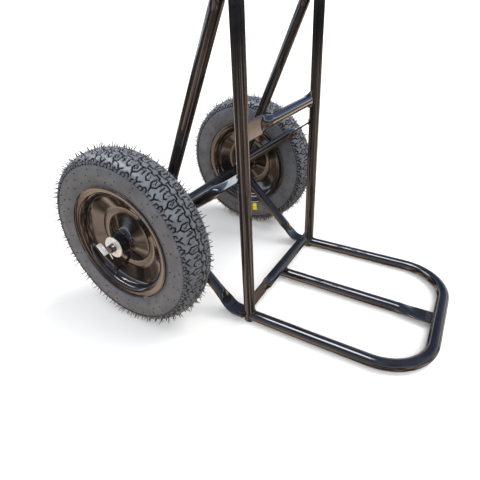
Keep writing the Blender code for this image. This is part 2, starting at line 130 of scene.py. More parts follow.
# weld beads
BEAD_SIDES = 10
BEAD_STEP = 0.0011
RIPPLE_HEIGHT = 0.16  # in bead radii
RIPPLE_LENGTH = 0.00075
BEAD_OFFSET = TUBE_WALL + 0.0012  # from a blade's middle to the bead beside it
SADDLE_LOW = 0.0026  # keeps the saddle's bead off the ground

SPLIT_PIN_X = 0.2840
PIN_WIRE_R = 0.00085
PIN_EYE_R = 0.0026
TAB_X = 0.2885
TAB_WIDTH, TAB_LENGTH, TAB_THICK = 0.0112, 0.0250, 0.0011

TREAD_PITCHES = 26
PITCH_STEPS = 36
TREAD_STEP = 0.00095
TREAD_EDGE = 0.0430  # from the crown to the serrated shoulder line, along the tread
TREAD_DROP = 0.0016  # from the tread's surface down to the sidewall's
TEETH_A_PITCH = 5  # of the serrated line
TOOTH_MM = 2.4
WHISKER_R = 0.00075
WHISKER_TAPER = ((0.0, 1.25), (0.35, 0.95), (0.7, 0.8), (1.0, 0.5))  # (share of length, of radius)
NIB_SPOTS_MM = (62.0, 74.0, 52.0)

VALVE_ANGLE = math.radians(-62)
VALVE_R = 0.0038
VALVE_LENGTH = 0.040
STEM_END = VALVE_LENGTH - 0.008
CAP_SIDES = 48


# -------- meshes
def skin(rings, around=True, along=False, start_cap=False, end_cap=False):
    """Points and faces of the surface through rings, an array of (ring, point, 3)."""
    rings = np.asarray(rings, float)
    count, width = rings.shape[:2]
    i = np.arange(count if along else count - 1)[:, None]
    j = np.arange(width if around else width - 1)[None, :]
    i_next, j_next = (i + 1) % count, (j + 1) % width
    corners = (i * width + j, i * width + j_next, i_next * width + j_next, i_next * width + j)
    faces = np.stack(np.broadcast_arrays(*corners), axis=-1).reshape(-1, 4).tolist()
    if start_cap:
        faces.append(list(range(width)))
    if end_cap:
        faces.append([(count - 1) * width + k for k in range(width)])
    return rings.reshape(-1, 3), faces


def add_piece(name, parts, finish, body, replaces=(), crease=40, fields=None):
    """One object from several skins. It rides on body and hides the CAD nodes it replaces."""
    points, faces, offset = [], [], 0
    for part_points, part_faces in parts:
        points.append(np.asarray(part_points, float))
        faces += [[k + offset for k in face] for face in part_faces]
        offset += len(part_points)
    mesh = bpy.data.meshes.new(name)
    mesh.from_pydata(np.concatenate(points).tolist(), [], faces)
    bm = bmesh.new()
    bm.from_mesh(mesh)
    bmesh.ops.recalc_face_normals(bm, faces=bm.faces)
    bm.to_mesh(mesh)
    bm.free()
    for field, values in (fields or {}).items():
        attribute = mesh.attributes.new(field, "FLOAT", "POINT")
        attribute.data.foreach_set("value", np.asarray(values, np.float32))
    mesh.materials.append(finish)
    mesh.shade_smooth()
    mesh.set_sharp_from_angle(angle=math.radians(crease))
    obj = bpy.data.objects.new(name, mesh)
    bpy.context.scene.collection.objects.link(obj)
    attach(obj, body)
    if replaces:
        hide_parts(*replaces)


def ease(value):
    """A smooth step from 0 to 1."""
    value = np.clip(value, 0.0, 1.0)
    return value * value * (3 - 2 * value)


def turns(count):
    return [2 * math.pi * k / count for k in range(count)]


def circle(centre, first, second, radius, sides):
    return [centre + radius * (first * math.cos(t) + second * math.sin(t)) for t in turns(sides)]


def two_across(direction):
    """Two unit vectors square to direction and to each other."""
    direction = direction.normalized()
    guide = Z if abs(direction.z) < 0.9 else X
    first = direction.cross(guide).normalized()
    return first, direction.cross(first)


def lathe(profile, centre, segments, axis=X, closed=True):
    """Turns (distance along axis, radius) pairs round the axis through centre."""
    first, second = two_across(axis)
    rings = []
    for angle in turns(segments):
        out = first * math.cos(angle) + second * math.sin(angle)
        rings.append([centre + axis * x + out * r for x, r in profile])
    return skin(rings, around=closed, along=True)


def soften(line, share, steps):
    """A polyline with each inner corner replaced by a short curve."""
    line = [np.array(p, float) for p in line]
    soft = [line[0]]
    for before, corner, after in zip(line, line[1:], line[2:]):
        start = corner + (before - corner) * share
        end = corner + (after - corner) * share
        for k in range(steps + 1):
            t = k / steps
            soft.append(start * (1 - t) ** 2 + corner * 2 * t * (1 - t) + end * t * t)
    soft.append(line[-1])
    return soft


def resample(points, step, fewest):
    """The same polyline in even steps, and each new point's distance from its start."""
    lengths = np.linalg.norm(np.diff(points, axis=0), axis=1)
    reach = np.concatenate([[0], np.cumsum(lengths)])
    at = np.linspace(0, reach[-1], max(fewest, round(reach[-1] / step) + 1))
    even = [np.interp(at, reach, points[:, k]) for k in range(points.shape[1])]
    return np.stack(even, axis=1), at


def smooth_line(points, step):
    """Evenly spaced points on a smooth curve through the stated ones."""
    points = np.array(points, float)
    padded = np.vstack([2 * points[0] - points[1], points, 2 * points[-1] - points[-2]])
    dense = []
    for a, b, c, d in zip(padded, padded[1:], padded[2:], padded[3:]):
        for t in np.linspace(0, 1, 24, endpoint=False):
            dense.append(0.5 * (2 * b + (c - a) * t + (2 * a - 5 * b + 4 * c - d) * t ** 2
                                + (3 * b - a - 3 * c + d) * t ** 3))
    return resample(np.array(dense + [points[-1]]), step, 2)[0]


# -------- tubes and beads
def round_corners(points, radii, steps=14):
    path = [points[0]]
    for before, corner, after, radius in zip(points, points[1:], points[2:], radii):
        arrive = (corner - before).normalized()
        leave = (after - corner).normalized()
        turn = arrive.angle(leave)
        axis = arrive.cross(leave).normalized()
        centre = corner + (leave - arrive).normalized() * radius / math.cos(turn / 2)
        first = corner - arrive * radius * math.tan(turn / 2) - centre
        for k in range(steps + 1):
            path.append(centre + Matrix.Rotation(turn * k / steps, 3, axis) @ first)
    path.append(points[-1])
    return path


def spread(path, step):
    """The same path with evenly spaced points, and each one's distance from the start."""
    points, at = resample(np.array([list(p) for p in path]), step, 3)
    return [Vector(p) for p in points], at


def crushed_ring(centre, first, second, from_end, blade):
    """A ring of the tube at a distance from its crushed end. The jaw's edge bows towards the end."""
    ring = []
    wide = math.pi * TUBE_R / 2
    for k in range(TUBE_SIDES):
        angle = 2 * math.pi * (k + 0.5) / TUBE_SIDES
        a, b = math.cos(angle), math.sin(angle)
        flat, press = 0.0, 0.0
        if blade:
            length, shoulder, bow = blade
            flat = 1 - ease((from_end - length) / (shoulder + bow))
            edge = length + bow * (1 - abs(b))
            press = 1 - ease((from_end - edge) / shoulder)
        half = (TUBE_WALL + BLADE_SLOT) * max(-1.0, min(1.0, BLADE_SQUARENESS * b))
        across = a * (TUBE_R + (wide - TUBE_R) * flat)
        thick = b * TUBE_R + (half - b * TUBE_R) * press
        ring.append(centre + first * across + second * thick)
    return ring


def bore_rings(mouth, inward, first, second):
    rings = []
    for depth in (0.0, BORE_DEPTH):
        ring = circle(mouth + inward * depth, first, second, TUBE_R - TUBE_WALL, TUBE_SIDES)
        rings.append(ring[1:] + ring[:1])
    return rings


def tube(path, wide_axis, start_blade=None, end_blade=None, open_start=False, open_end=False,
         step=PATH_STEP):
    """A tube along path, with crushed ends where a blade is given and hollow ends where open."""
    points, at = spread(path, step)
    last = len(points) - 1
    rings = []
    for k, point in enumerate(points):
        along = (points[min(k + 1, last)] - points[max(k - 1, 0)]).normalized()
        first = (wide_axis - along * wide_axis.dot(along)).normalized()
        second = along.cross(first)
        near_start = at[k] < at[-1] / 2
        blade = start_blade if near_start else end_blade
        from_end = at[k] if near_start else at[-1] - at[k]
        rings.append(crushed_ring(point, first, second, from_end, blade))
        if k == 0 and open_start:
            rings = bore_rings(point, along, first, second)[::-1] + rings
        if k == last and open_end:
            rings += bore_rings(point, -along, first, second)
    return skin(rings, start_cap=True, end_cap=True)


def bead(line, radius, seed, closed=False, step=BEAD_STEP):
    """A weld bead: a rippled cord laid along line."""
    points, at = spread(list(line) + ([line[0]] if closed else []), step)
    if closed:
        points = points[:-1]
    rng = random.Random(seed)
    phase, count = rng.random() * 6, len(points)
    rings = []
    for k, point in enumerate(points):
        ahead = points[(k + 1) % count] if closed else points[min(k + 1, count - 1)]
        behind = points[k - 1] if closed else points[max(k - 1, 0)]
        first, second = two_across(ahead - behind)
        ripple = RIPPLE_HEIGHT * math.sin(at[k] / RIPPLE_LENGTH + phase)
        size = radius * (1 + ripple + rng.uniform(-0.07, 0.07))
        if not closed:
            size *= 0.35 + 0.65 * float(ease(min(k, count - 1 - k) / 3))
        rings.append(circle(point, first, second, size, BEAD_SIDES))
    return skin(rings, along=closed, start_cap=not closed, end_cap=not closed)


def zigzag(centre, width, length, runs=4):
    """A back-and-forth line over a level patch, as a welder fills a wide joint."""
    corners = []
    for k in range(runs + 1):
        shift = Y * (length * (k / runs - 0.5))
        ends = (-0.5, 0.5) if k % 2 == 0 else (0.5, -0.5)
        corners += [centre + shift + X * (width * end) for end in ends]
    return corners


def wire_skin(points, radius):
    rings = []
    for k, point in enumerate(points):
        ahead, behind = points[min(k + 1, len(points) - 1)], points[max(k - 1, 0)]
        first, second = two_across(ahead - behind)
        rings.append(circle(point, first, second, radius, 12))
    return skin(rings, start_cap=True, end_cap=True)


def on_axle(x):
    return Vector((x, AXLE.y, AXLE.z))


def at_upright(side, behind, height):
    return Vector((SIDES[side] * HALF_SPACING, UPRIGHT_Y + behind, height))


def on_tube_side(side, across, height, rear):
    """A point on the upright's front or rear surface, off its centre line by across."""
    depth = math.sqrt(max(0.0, TUBE_R ** 2 - across ** 2))
    return Vector((SIDES[side] * HALF_SPACING + across, UPRIGHT_Y + (depth if rear else -depth), height))


# -------- material nodes
def look(name, colour, roughness, metallic=0.0):
    """A material with plain values, which its maker varies with nodes."""
    made = bpy.data.materials.new(name)
    made.use_nodes = True
    shader = made.node_tree.nodes["Principled BSDF"]
    shader.inputs["Base Color"].default_value = (*colour, 1)
    shader.inputs["Roughness"].default_value = roughness
    shader.inputs["Metallic"].default_value = metallic
    return made, made.node_tree, shader


def add_node(tree, kind, **values):
    """A shader node with plain values on its sockets."""
    made = tree.nodes.new("ShaderNode" + kind)
    for socket, value in values.items():
        made.inputs[socket].default_value = value
    return made


def place(tree):
    return add_node(tree, "TexCoord").outputs["Object"]


def noise(tree, scale, detail=3.0, roughness=0.5, stretch=None, source=None):
    made = add_node(tree, "TexNoise", Scale=scale, Detail=detail, Roughness=roughness)
    source = source or place(tree)
    if stretch:
        mapping = add_node(tree, "Mapping", Scale=stretch)
        tree.links.new(source, mapping.inputs["Vector"])
        source = mapping.outputs["Vector"]
    tree.links.new(source, made.inputs["Vector"])
    return made.outputs["Fac"]


def ramp(tree, factor, *stops):
    made = add_node(tree, "ValToRGB")
    elements = made.color_ramp.elements
    while len(elements) < len(stops):
        elements.new(0.5)
    for element, (position, colour) in zip(elements, stops):
        element.position = position
        element.color = (*colour, 1) if isinstance(colour, tuple) else (colour, colour, colour, 1)
    tree.links.new(factor, made.inputs["Fac"])
    return made.outputs["Color"]


def blend(tree, factor, low, high):
    made = add_node(tree, "Mix")
    made.data_type = "RGBA"
    tree.links.new(factor, made.inputs["Factor"])
    for socket, value in (("A", low), ("B", high)):
        target = [s for s in made.inputs if s.name == socket and s.type == "RGBA"][0]
        if isinstance(value, tuple):
            target.default_value = (*value, 1)
        else:
            tree.links.new(value, target)
    return [s for s in made.outputs if s.type == "RGBA"][0]


def math_node(tree, operation, first, second):
    """A Math node on first, an output, and second, an output or a number."""
    made = add_node(tree, "Math")
    made.operation = operation
    tree.links.new(first, made.inputs[0])
    if isinstance(second, float):
        made.inputs[1].default_value = second
    else:
        tree.links.new(second, made.inputs[1])
    return made.outputs["Value"]


def height_of(tree, vector):
    split = add_node(tree, "SeparateXYZ")
    tree.links.new(vector, split.inputs["Vector"])
    return split.outputs["Z"]


def dress(tree, shader, colour, rough, *layers):
    """Links colour, roughness and a stack of bumps: (height output, strength, depth in metres)."""
    tree.links.new(colour, shader.inputs["Base Color"])
    if rough:
        tree.links.new(rough, shader.inputs["Roughness"])
    normal = None
    for height, strength, depth in layers:
        made = add_node(tree, "Bump", Strength=strength, Distance=depth)
        tree.links.new(height, made.inputs["Height"])
        if normal:
            tree.links.new(normal, made.inputs["Normal"])
        normal = made.outputs["Normal"]
    tree.links.new(normal, shader.inputs["Normal"])


def facing_up(tree):
    """How much a surface faces the sky, from 0 to 1, which is where dust settles."""
    geometry = add_node(tree, "NewGeometry")
    return ramp(tree, height_of(tree, geometry.outputs["Normal"]), (0.25, 0.0), (1.0, 1.0))


# -------- materials
def enamel(name, dark, light, dust):
    """Sprayed gloss enamel: orange peel, slow waves, faint smears, specks of dust on top."""
    made, tree, shader = look(name, dark, 0.12)
    specks = ramp(tree, noise(tree, 900, 2), (0.66, 0.0), (0.76, 0.7))
    specks = math_node(tree, "MULTIPLY", specks, facing_up(tree))
    cloud = ramp(tree, noise(tree, 22, 4, 0.6), (0.35, 0.0), (0.7, 1.0))
    colour = blend(tree, specks, blend(tree, cloud, dark, light), dust)
    smears = ramp(tree, noise(tree, 60, 5, 0.65), (0.3, 0.07), (0.75, 0.20))
    shader.inputs["Coat Weight"].default_value = 1.0
    shader.inputs["Coat Roughness"].default_value = 0.04
    shader.inputs["IOR"].default_value = 1.55
    peel, waves = noise(tree, 420, 2, 0.5), noise(tree, 55, 3, 0.55)
    dress(tree, shader, colour, smears, (peel, 0.08, 0.0006), (waves, 0.16, 0.0018))
    return made


def weld_enamel():
    """Enamel over a weld, with bright flakes where it didn't hold."""
    dark = (0.014, 0.014, 0.016)
    made, tree, shader = look("weld_enamel", dark, 0.25)
    flakes = ramp(tree, noise(tree, 620, 2, 0.7), (0.60, 0.0), (0.68, 1.0))
    colour = blend(tree, flakes, dark, (0.30, 0.29, 0.27))
    rough = ramp(tree, noise(tree, 300, 3), (0.3, 0.16), (0.8, 0.42))
    tree.links.new(flakes, shader.inputs["Metallic"])
    dress(tree, shader, colour, rough, (noise(tree, 520, 4, 0.7), 0.5, 0.0012))
    return made


def tyre_rubber():
    """Grey-black rubber with mould bloom, with painted shade and no shine down in the grooves."""
    made, tree, shader = look("tyre_rubber", (0.055, 0.057, 0.062), 0.72)
    groove = add_node(tree, "Attribute")
    groove.attribute_name = "groove"
    depth = groove.outputs["Fac"]
    bloom = ramp(tree, noise(tree, 34, 6, 0.65), (0.3, (0.066, 0.070, 0.079)),
                 (0.72, (0.128, 0.138, 0.158)))
    grit = ramp(tree, noise(tree, 700, 2), (0.66, 0.0), (0.76, 1.0))
    # Painted shade: the groove field darkens the rubber nearly to black in the grooves and along the
    # shoulder line.
    colour = blend(tree, grit, blend(tree, depth, bloom, (0.002, 0.002, 0.002)), (0.14, 0.135, 0.125))
    rough = ramp(tree, noise(tree, 80, 4), (0.3, 0.34), (0.75, 0.56))
    shine = shader.inputs["Specular IOR Level"]
    shine.default_value = 0.75
    tree.links.new(ramp(tree, depth, (0.0, 0.75), (1.0, 0.02)), shine)
    shader.inputs["Sheen Weight"].default_value = 0.15
    shader.inputs["Sheen Roughness"].default_value = 0.5
    grain, lumps = noise(tree, 900, 3, 0.6), noise(tree, 130, 3, 0.6)
    dress(tree, shader, colour, rough, (grain, 0.22, 0.0006), (lumps, 0.16, 0.0012))
    return made


def plain_rubber(name, colour, roughness):
    """Moulded black rubber or plastic, with slightly lighter patches and a fine grain."""
    made, tree, shader = look(name, colour, roughness)
    lighter = tuple(min(1.0, c * 1.7) for c in colour)
    patches = ramp(tree, noise(tree, 70, 5, 0.6), (0.3, colour), (0.75, lighter))
    rough = ramp(tree, noise(tree, 140, 3), (0.3, roughness - 0.1), (0.8, roughness + 0.1))
    dress(tree, shader, patches, rough, (noise(tree, 850, 3, 0.6), 0.3, 0.0006))
    return made


def bright_metal(name, colour, tint, roughness, metallic=1.0, stretch=(1, 1, 1)):
    """Zinc plate or ground steel: fine scratches and a slight tint in patches."""
    made, tree, shader = look(name, colour, roughness, metallic)
    patches = ramp(tree, noise(tree, 120, 4, 0.6), (0.35, 0.0), (0.75, 1.0))
    scratches = noise(tree, 500, 4, 0.7, stretch)
    rough = ramp(tree, scratches, (0.3, roughness - 0.1), (0.75, roughness + 0.16))
    dress(tree, shader, blend(tree, patches, colour, tint), rough, (scratches, 0.12, 0.0004))
    return made


def sticker_film():
    made, tree, shader = look("sticker_yellow", (0.90, 0.72, 0.02), 0.35)
    fade = ramp(tree, noise(tree, 120, 4), (0.3, (0.82, 0.62, 0.01)), (0.7, (0.95, 0.80, 0.05)))
    dress(tree, shader, fade, None, (noise(tree, 160, 3), 0.25, 0.0008))
    return made


ENAMEL = enamel("black_enamel", (0.0045, 0.0045, 0.0055), (0.010, 0.010, 0.012), (0.10, 0.10, 0.10))
RIM_ENAMEL = enamel("rim_enamel", (0.0085, 0.0060, 0.0050), (0.020, 0.014, 0.011), (0.16, 0.13, 0.11))
WELD = weld_enamel()
TYRE = tyre_rubber()
BUTYL = plain_rubber("butyl", (0.016, 0.016, 0.017), 0.5)
GRIP = plain_rubber("grip_rubber", (0.014, 0.014, 0.015), 0.62)
CAP = plain_rubber("cap_plastic", (0.018, 0.018, 0.019), 0.38)
ZINC = bright_metal("zinc", (0.92, 0.92, 0.90), (0.84, 0.81, 0.74), 0.30, 0.55, (1, 6, 6))
AXLE_STEEL = bright_metal("axle_steel", (0.13, 0.13, 0.135), (0.07, 0.065, 0.06), 0.22)
STEEL = bright_metal("steel", (0.50, 0.50, 0.51), (0.40, 0.39, 0.38), 0.24)
STICKER = sticker_film()


# -------- frame
def upright_path(side):
    """The upright's centre line, from foot to handle end, and the handle's direction."""
    foot = at_upright(side, 0, 0)
    lean = Y * math.sin(HANDLE_ANGLE) + Z * math.cos(HANDLE_ANGLE)
    reach = HANDLE_BEND_R * math.tan(HANDLE_ANGLE / 2)
    corner = at_upright(side, 0, HANDLE_BEND_Z + reach)
    end = corner + lean * (reach + HANDLE_STRAIGHT)
    return round_corners([foot, corner, end], [HANDLE_BEND_R]), lean


def add_tube(name, node, *shape, **options):
    add_piece(f"tube_{name}", [tube(*shape, **options)], ENAMEL, "frame", [node])


def make_uprights():
    for side in SIDES:
        add_tube(f"upright_{side}", f"upright_{side}", upright_path(side)[0], X, open_start=True)


def grip_profile():
    """(distance from the open end, radius) pairs: a collar, a run of rings, a domed end."""
    groove_r, ring_r = GRIP_R - GRIP_RING_DEPTH, GRIP_R - 0.0002
    collar = [(0.0, TUBE_R + 0.0002), (0.0, GRIP_R - 0.0006), (0.0006, GRIP_R), (0.006, GRIP_R)]
    profile = collar + [(0.0072, groove_r)]
    for k in range(int((GRIP_LENGTH - 0.026) / GRIP_RING_PITCH)):
        base = 0.010 + k * GRIP_RING_PITCH
        for share, radius in ((0.0, groove_r), (0.12, ring_r), (0.55, ring_r), (0.67, groove_r)):
            profile.append((base + share * GRIP_RING_PITCH, radius))
    profile += [(GRIP_LENGTH - 0.013, groove_r), (GRIP_LENGTH - 0.012, GRIP_R)]
    dome_length, dome_r = 0.005, 0.007
    for k in range(7):
        angle = math.pi / 2 * k / 6
        profile.append((GRIP_LENGTH - dome_length + dome_length * math.sin(angle),
                        GRIP_R - dome_r + dome_r * math.cos(angle)))
    profile.append((GRIP_LENGTH, 0.0005))
    return profile


def make_grips():
    for side in SIDES:
        path, lean = upright_path(side)
        start = path[-1] + lean * GRIP_PROUD - lean * GRIP_LENGTH
        parts = [lathe(grip_profile(), start, 48, axis=lean, closed=False)]
        add_piece(f"ribbed_grip_{side}", parts, GRIP, "frame", [f"grip_{side}"],
                  crease=50)


def make_toe_loop():
    outline = ((-1, TOE_END_Y), (-1, FRONT_Y), (1, FRONT_Y), (1, TOE_END_Y))
    corners = [Vector((sign * HALF_SPACING, y, TUBE_R)) for sign, y in outline]
    path = round_corners(corners, [TOE_CORNER_R] * 2, steps=24)
    add_tube("toe_loop", "toe_loop", path, Z)


def make_toe_middle():
    front = Vector((0, FRONT_Y + TUBE_R - 0.001, TUBE_R))
    rear = Vector((0, UPRIGHT_Y + TUBE_R, BAR_Z["base_crossbar"] - 2 * TUBE_R))
    add_tube("toe_middle", "toe_middle_tube", [front, rear], X, start_blade=TOE_BLADE, open_end=True,
             step=0.002)


def make_crossbars():
    reach = X * (HALF_SPACING - TUBE_R * BAR_SEAT)
    for name, height in BAR_Z.items():
        middle = Vector((0, UPRIGHT_Y, height))
        left_blade = LEFT_BAR_BLADE.get(name, BAR_BLADE)
        add_tube(name, name, [middle - reach, middle + reach], Z, left_blade, BAR_BLADE, step=0.0015)


def make_side_brace(side):
    """From high on the upright down to the axle, and forward to the upright's foot."""
    knee = at_upright(side, *BRACE_KNEE)
    toe = at_upright(side, *BRACE_TOE)
    top = at_upright(side, TUBE_R * STAY_SEAT, BRACE_TOP_RISE)
    foot = at_upright(side, TUBE_R * FOOT_SEAT, BRACE_TOE[1])
    path = round_corners([top, knee, toe, foot], [BRACE_KNEE_R, BRACE_TOE_R], steps=20)
    node = f"side_brace_{side}"
    add_tube(node, node, path, X, BRACE_BLADE, FOOT_BLADE, step=0.0025)


def make_side_strut(side):
    start = at_upright(side, TUBE_R * STAY_SEAT, STRUT_TOP[side])
    end = at_upright(side, STRUT_REACH, STRUT_TOP[side] + STRUT_SLOPE * (STRUT_REACH - TUBE_R))
    wide = Matrix.Rotation(STRUT_ROLL[side], 3, (end - start).normalized()) @ X
    node = f"side_strut_{side}"
    add_tube(node, node, [start, end], wide, STRUT_BLADE[side], step=0.0025)


def make_axle_tube():
    ends = [AXLE - X * AXLE_TUBE_END, AXLE + X * AXLE_TUBE_END]
    add_tube("axle", "axle_tube", ends, Z, open_start=True, open_end=True)


# -------- welds
def stay_lines(side):
    """Over and under each crushed end behind the upright."""
    lines = []
    for height in (BRACE_TOP_RISE, STRUT_TOP[side], BRACE_TOE[1]):
        for edge in (-1, 1):
            level = height + edge * BEAD_OFFSET * 1.4
            lines.append([on_tube_side(side, x, level, True)
                          for x in np.linspace(-0.85 * TUBE_R, 0.85 * TUBE_R, 9)])
    return lines


def crossbar_line(side, height):
    """Round a crossbar's crushed end."""
    loop = []
    for angle in turns(20):
        y = BEAD_OFFSET * math.cos(angle)
        x = HALF_SPACING - math.sqrt(TUBE_R ** 2 - y * y)
        loop.append(Vector((SIDES[side] * x, UPRIGHT_Y + y, height + 0.0170 * math.sin(angle))))
    return loop


def saddle_line(side):
    """Where the toe loop's end meets the upright's front."""
    loop = []
    for angle in turns(28):
        across = TUBE_R * math.cos(angle)
        point = on_tube_side(side, across * 0.98, TUBE_R + TUBE_R * math.sin(angle), False)
        point.z = max(point.z, SADDLE_LOW)
        loop.append(point)
    return loop


def knee_lines(side):
    """Where the axle tube lies in the brace's knee."""
    knee = AXLE + X * (SIDES[side] * HALF_SPACING) + (Y * -0.0100 + Z * 0.0048)
    return [[knee + X * x + Z * edge * (0.0042 + 0.25 * abs(x)) for x in np.linspace(-0.009, 0.009, 9)]
            for edge in (-1, 1)]


def make_side_welds(side):
    """A bead's place in the list is its seed."""
    foot = at_upright(side, 0, BRACE_TOE[1] + TUBE_WALL + 0.0006) + Y * (TUBE_R + 0.0065)
    beads = [(line, 0.0021, False) for line in stay_lines(side)]
    beads += [(crossbar_line(side, height), 0.0017, True) for height in BAR_Z.values()]
    beads.append((saddle_line(side), 0.0019, True))
    beads += [(line, 0.0024, False) for line in knee_lines(side)]
    beads.append((zigzag(foot, 0.022, 0.010), 0.0015, False))
    parts = [bead(line, radius, seed, closed) for seed, (line, radius, closed) in enumerate(beads)]
    add_piece(f"welds_{side}", parts, WELD, "frame")


def make_toe_welds():
    """The middle tube's beads: two on the front bar, a loop at the rear, and a filled patch."""
    reach = np.linspace(-0.016, 0.016, 14)
    front_y = FRONT_Y + TUBE_R * 0.93
    over = [Vector((x, front_y, TUBE_R + 0.0040)) for x in reach]
    under = [Vector((x, front_y, TUBE_R - 0.0040)) for x in reach]
    rear_z = BAR_Z["base_crossbar"] - TUBE_R
    rear = [Vector((TUBE_R * 0.9 * math.cos(a), UPRIGHT_Y + TUBE_R * 0.75 * math.sin(a), rear_z))
            for a in np.linspace(0, 2 * math.pi, 24, endpoint=False)]
    patch = zigzag(Vector((0, FRONT_Y + TUBE_R + 0.0055, TUBE_R + TUBE_WALL + 0.0006)), 0.026, 0.010)
    parts = [bead(over, 0.0019, 50), bead(under, 0.0019, 51), bead(rear, 0.0017, 52, closed=True),
             bead(patch, 0.0015, 53)]
    add_piece("welds_toe_middle", parts, WELD, "frame")


# -------- axle ends
def turned(near, far, radius, bore, edge):
    """(distance along X, radius) pairs of a rod or ring with bevelled ends."""
    return [(near, bore), (near, radius - edge), (near + edge, radius),
            (far - edge, radius), (far, radius - edge), (far, bore)]


def make_axle_rod():
    parts = [lathe(turned(-AXLE_END, AXLE_END, AXLE_R, 0.0004, 0.0014), AXLE, 48, closed=False)]
    add_piece("turned_axle_rod", parts, AXLE_STEEL, "frame", ["axle_rod"], crease=25)


def make_washer(node):
    near, far = (corner.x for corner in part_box(node))
    parts = [lathe(turned(near, far, WASHER_R, AXLE_R + 0.0005, 0.0004), on_axle(0), 64)]
    add_piece(f"pressed_{node}", parts, ZINC, "frame", [node], crease=25)


def pin_legs(centre, lean):
    return [wire_skin([centre + X * offset * PIN_WIRE_R * 0.95 + lean * d
                       for d in np.linspace(0.0085, -0.0168, 12)], PIN_WIRE_R) for offset in (-1, 1)]


def pin_eye(centre, lean):
    middle = centre + lean * 0.0112
    eye = [middle + X * PIN_EYE_R * math.cos(angle) + lean * PIN_EYE_R * math.sin(angle)
           for angle in np.linspace(-0.40 * math.pi, 1.40 * math.pi, 22)]
    return wire_skin(eye, PIN_WIRE_R)


def pin_tail(sign, centre, lean):
    hanging = (Y * -0.45 + Z * -0.89).normalized()
    bend = centre - lean * 0.0115
    leg = [bend + hanging * 0.0165 * t + X * sign * 0.0010 * math.sin(3 * t) + Y * 0.0016 * t * t
           for t in np.linspace(0, 1, 12)]
    return wire_skin(leg, 0.0011)


def pin_tab(sign, lean):
    """The hammered tab, with rounded edges and a slight bow."""
    along = (Y + Z).normalized()
    edge = 0.00035
    middle = on_axle(sign * TAB_X) - lean * 0.0176 + along * 0.0110
    outline = ((-1, -1, edge, 0), (1, -1, -edge, 0), (1, -1, 0, edge), (1, 1, 0, -edge),
               (1, 1, -edge, 0), (-1, 1, edge, 0), (-1, 1, 0, -edge), (-1, -1, 0, edge))
    rings = []
    for t in np.linspace(-1, 1, 13):
        centre = middle + along * (t * TAB_LENGTH / 2) - lean * (0.0007 * t * t)
        pinch = 1 - 0.10 * max(0.0, abs(t) - 0.85) / 0.15
        rings.append([centre + X * (a * TAB_WIDTH / 2 * pinch + da) + lean * (b * TAB_THICK / 2 + db)
                      for a, b, da, db in outline])
    return skin(rings, start_cap=True, end_cap=True)


def make_split_pin(side, sign):
    """A folded wire pin: an eye, two legs, one bent down and one hammered to a tab."""
    lean = (Z - Y).normalized()
    centre = on_axle(sign * SPLIT_PIN_X)
    parts = pin_legs(centre, lean) + [pin_eye(centre, lean), pin_tail(sign, centre, lean)]
    parts.append(pin_tab(sign, lean))
    node = f"split_pin_{side}"
    add_piece(f"bent_{node}", parts, ZINC, "frame", [node], crease=30)


def make_axle_ends():
    make_axle_rod()
    for side, sign in SIDES.items():
        make_washer(f"washer_inner_{side}")
        make_washer(f"washer_outer_{side}")
        make_split_pin(side, sign)


# -------- tyres
def side_normals(line):
    """Unit vectors square to a flat line, at each of its points."""
    way = np.gradient(line, axis=0)
    normals = np.stack([-way[:, 1], way[:, 0]], axis=1)
    return normals / np.linalg.norm(normals, axis=1)[:, None]


# half a section of the tyre, from the crown to the bead: (x from the mid-plane, drop from the crown)
TYRE_SECTION = ((0.0, 0.0), (0.0105, 0.0008), (0.0200, 0.0030), (0.0290, 0.0074), (0.0338, 0.0125),
                (0.0372, 0.0235), (0.0383, 0.0375), (0.0362, 0.0500), (0.0318, 0.0595),
                (0.0300, 0.0655), (0.0289, 0.0715), (0.0250, 0.0757))
TYRE_CURVE = smooth_line([(x, WHEEL_R - drop) for x, drop in TYRE_SECTION], TREAD_STEP)
TYRE_REACH = np.arange(len(TYRE_CURVE)) * TREAD_STEP
TYRE_OUT = side_normals(TYRE_CURVE)
TYRE_OUT = TYRE_OUT * np.sign(TYRE_OUT[len(TYRE_OUT) // 3, 0])
TREAD_LAST = int(np.searchsorted(TYRE_REACH, TREAD_EDGE + 0.0050))

# grooves of one pitch of tread: width in mm, then points of (share of the pitch, mm from the crown)
GROOVES = [
    (2.6, [(0, 3), (0.2, 3.6), (0.24, 7.6), (0.5, 7), (0.54, 3.2), (0.78, 3.8), (0.82, 7),
           (0.98, 6.4), (1, 3)]),
    (2.1, [(0.16, 9), (0.13, 20.5), (0.27, 27.5), (0.43, 22), (0.42, 8.5)]),
    (1.5, [(0.24, 12), (0.31, 18.5)]),
    (1.9, [(0.6, 9.5), (0.62, 20.5)]),
    (1.9, [(0.77, 9.5), (0.8, 19), (0.93, 24), (1, 20)]),
    (2, [(0.27, 27.5), (0.3, 33)]),
    (2.2, [(0.64, 44), (0.69, 37), (0.59, 30.5)]),
    (2, [(0.69, 37), (0.84, 32)]),
    (2.2, [(0.1, 44), (0.06, 38), (0.12, 33.5), (0.24, 35.5), (0.27, 40)]),
    (2, [(0.42, 44), (0.44, 38.5), (0.53, 37.5)]),
    (2, [(0.88, 44), (0.9, 38.5), (0.99, 37.5)]),
]
GROOVE_DEPTH = 0.0030
GROOVE_SHADE_MM = 0.35  # how far the grooves' painted shade reaches past their edges

# whiskers of one pitch: (share of the pitch, mm from the crown)
WHISKER_SPOTS = [(0.26, 20.5), (0.5, 14), (0.62, 16), (0.77, 15), (0.94, 14.5), (0.15, 37.5),
                 (0.45, 40), (0.75, 37), (0.95, 41), (0, 1.5), (0.5, 1.5), (0.33, 34),
                 (0.6, 28), (0.9, 29.5)]

# raised lines on the sidewall: below the crown, half width, height
SIDEWALL_LINES = ((0.0585, 0.0009, 0.0007), (0.0245, 0.0007, 0.0004))


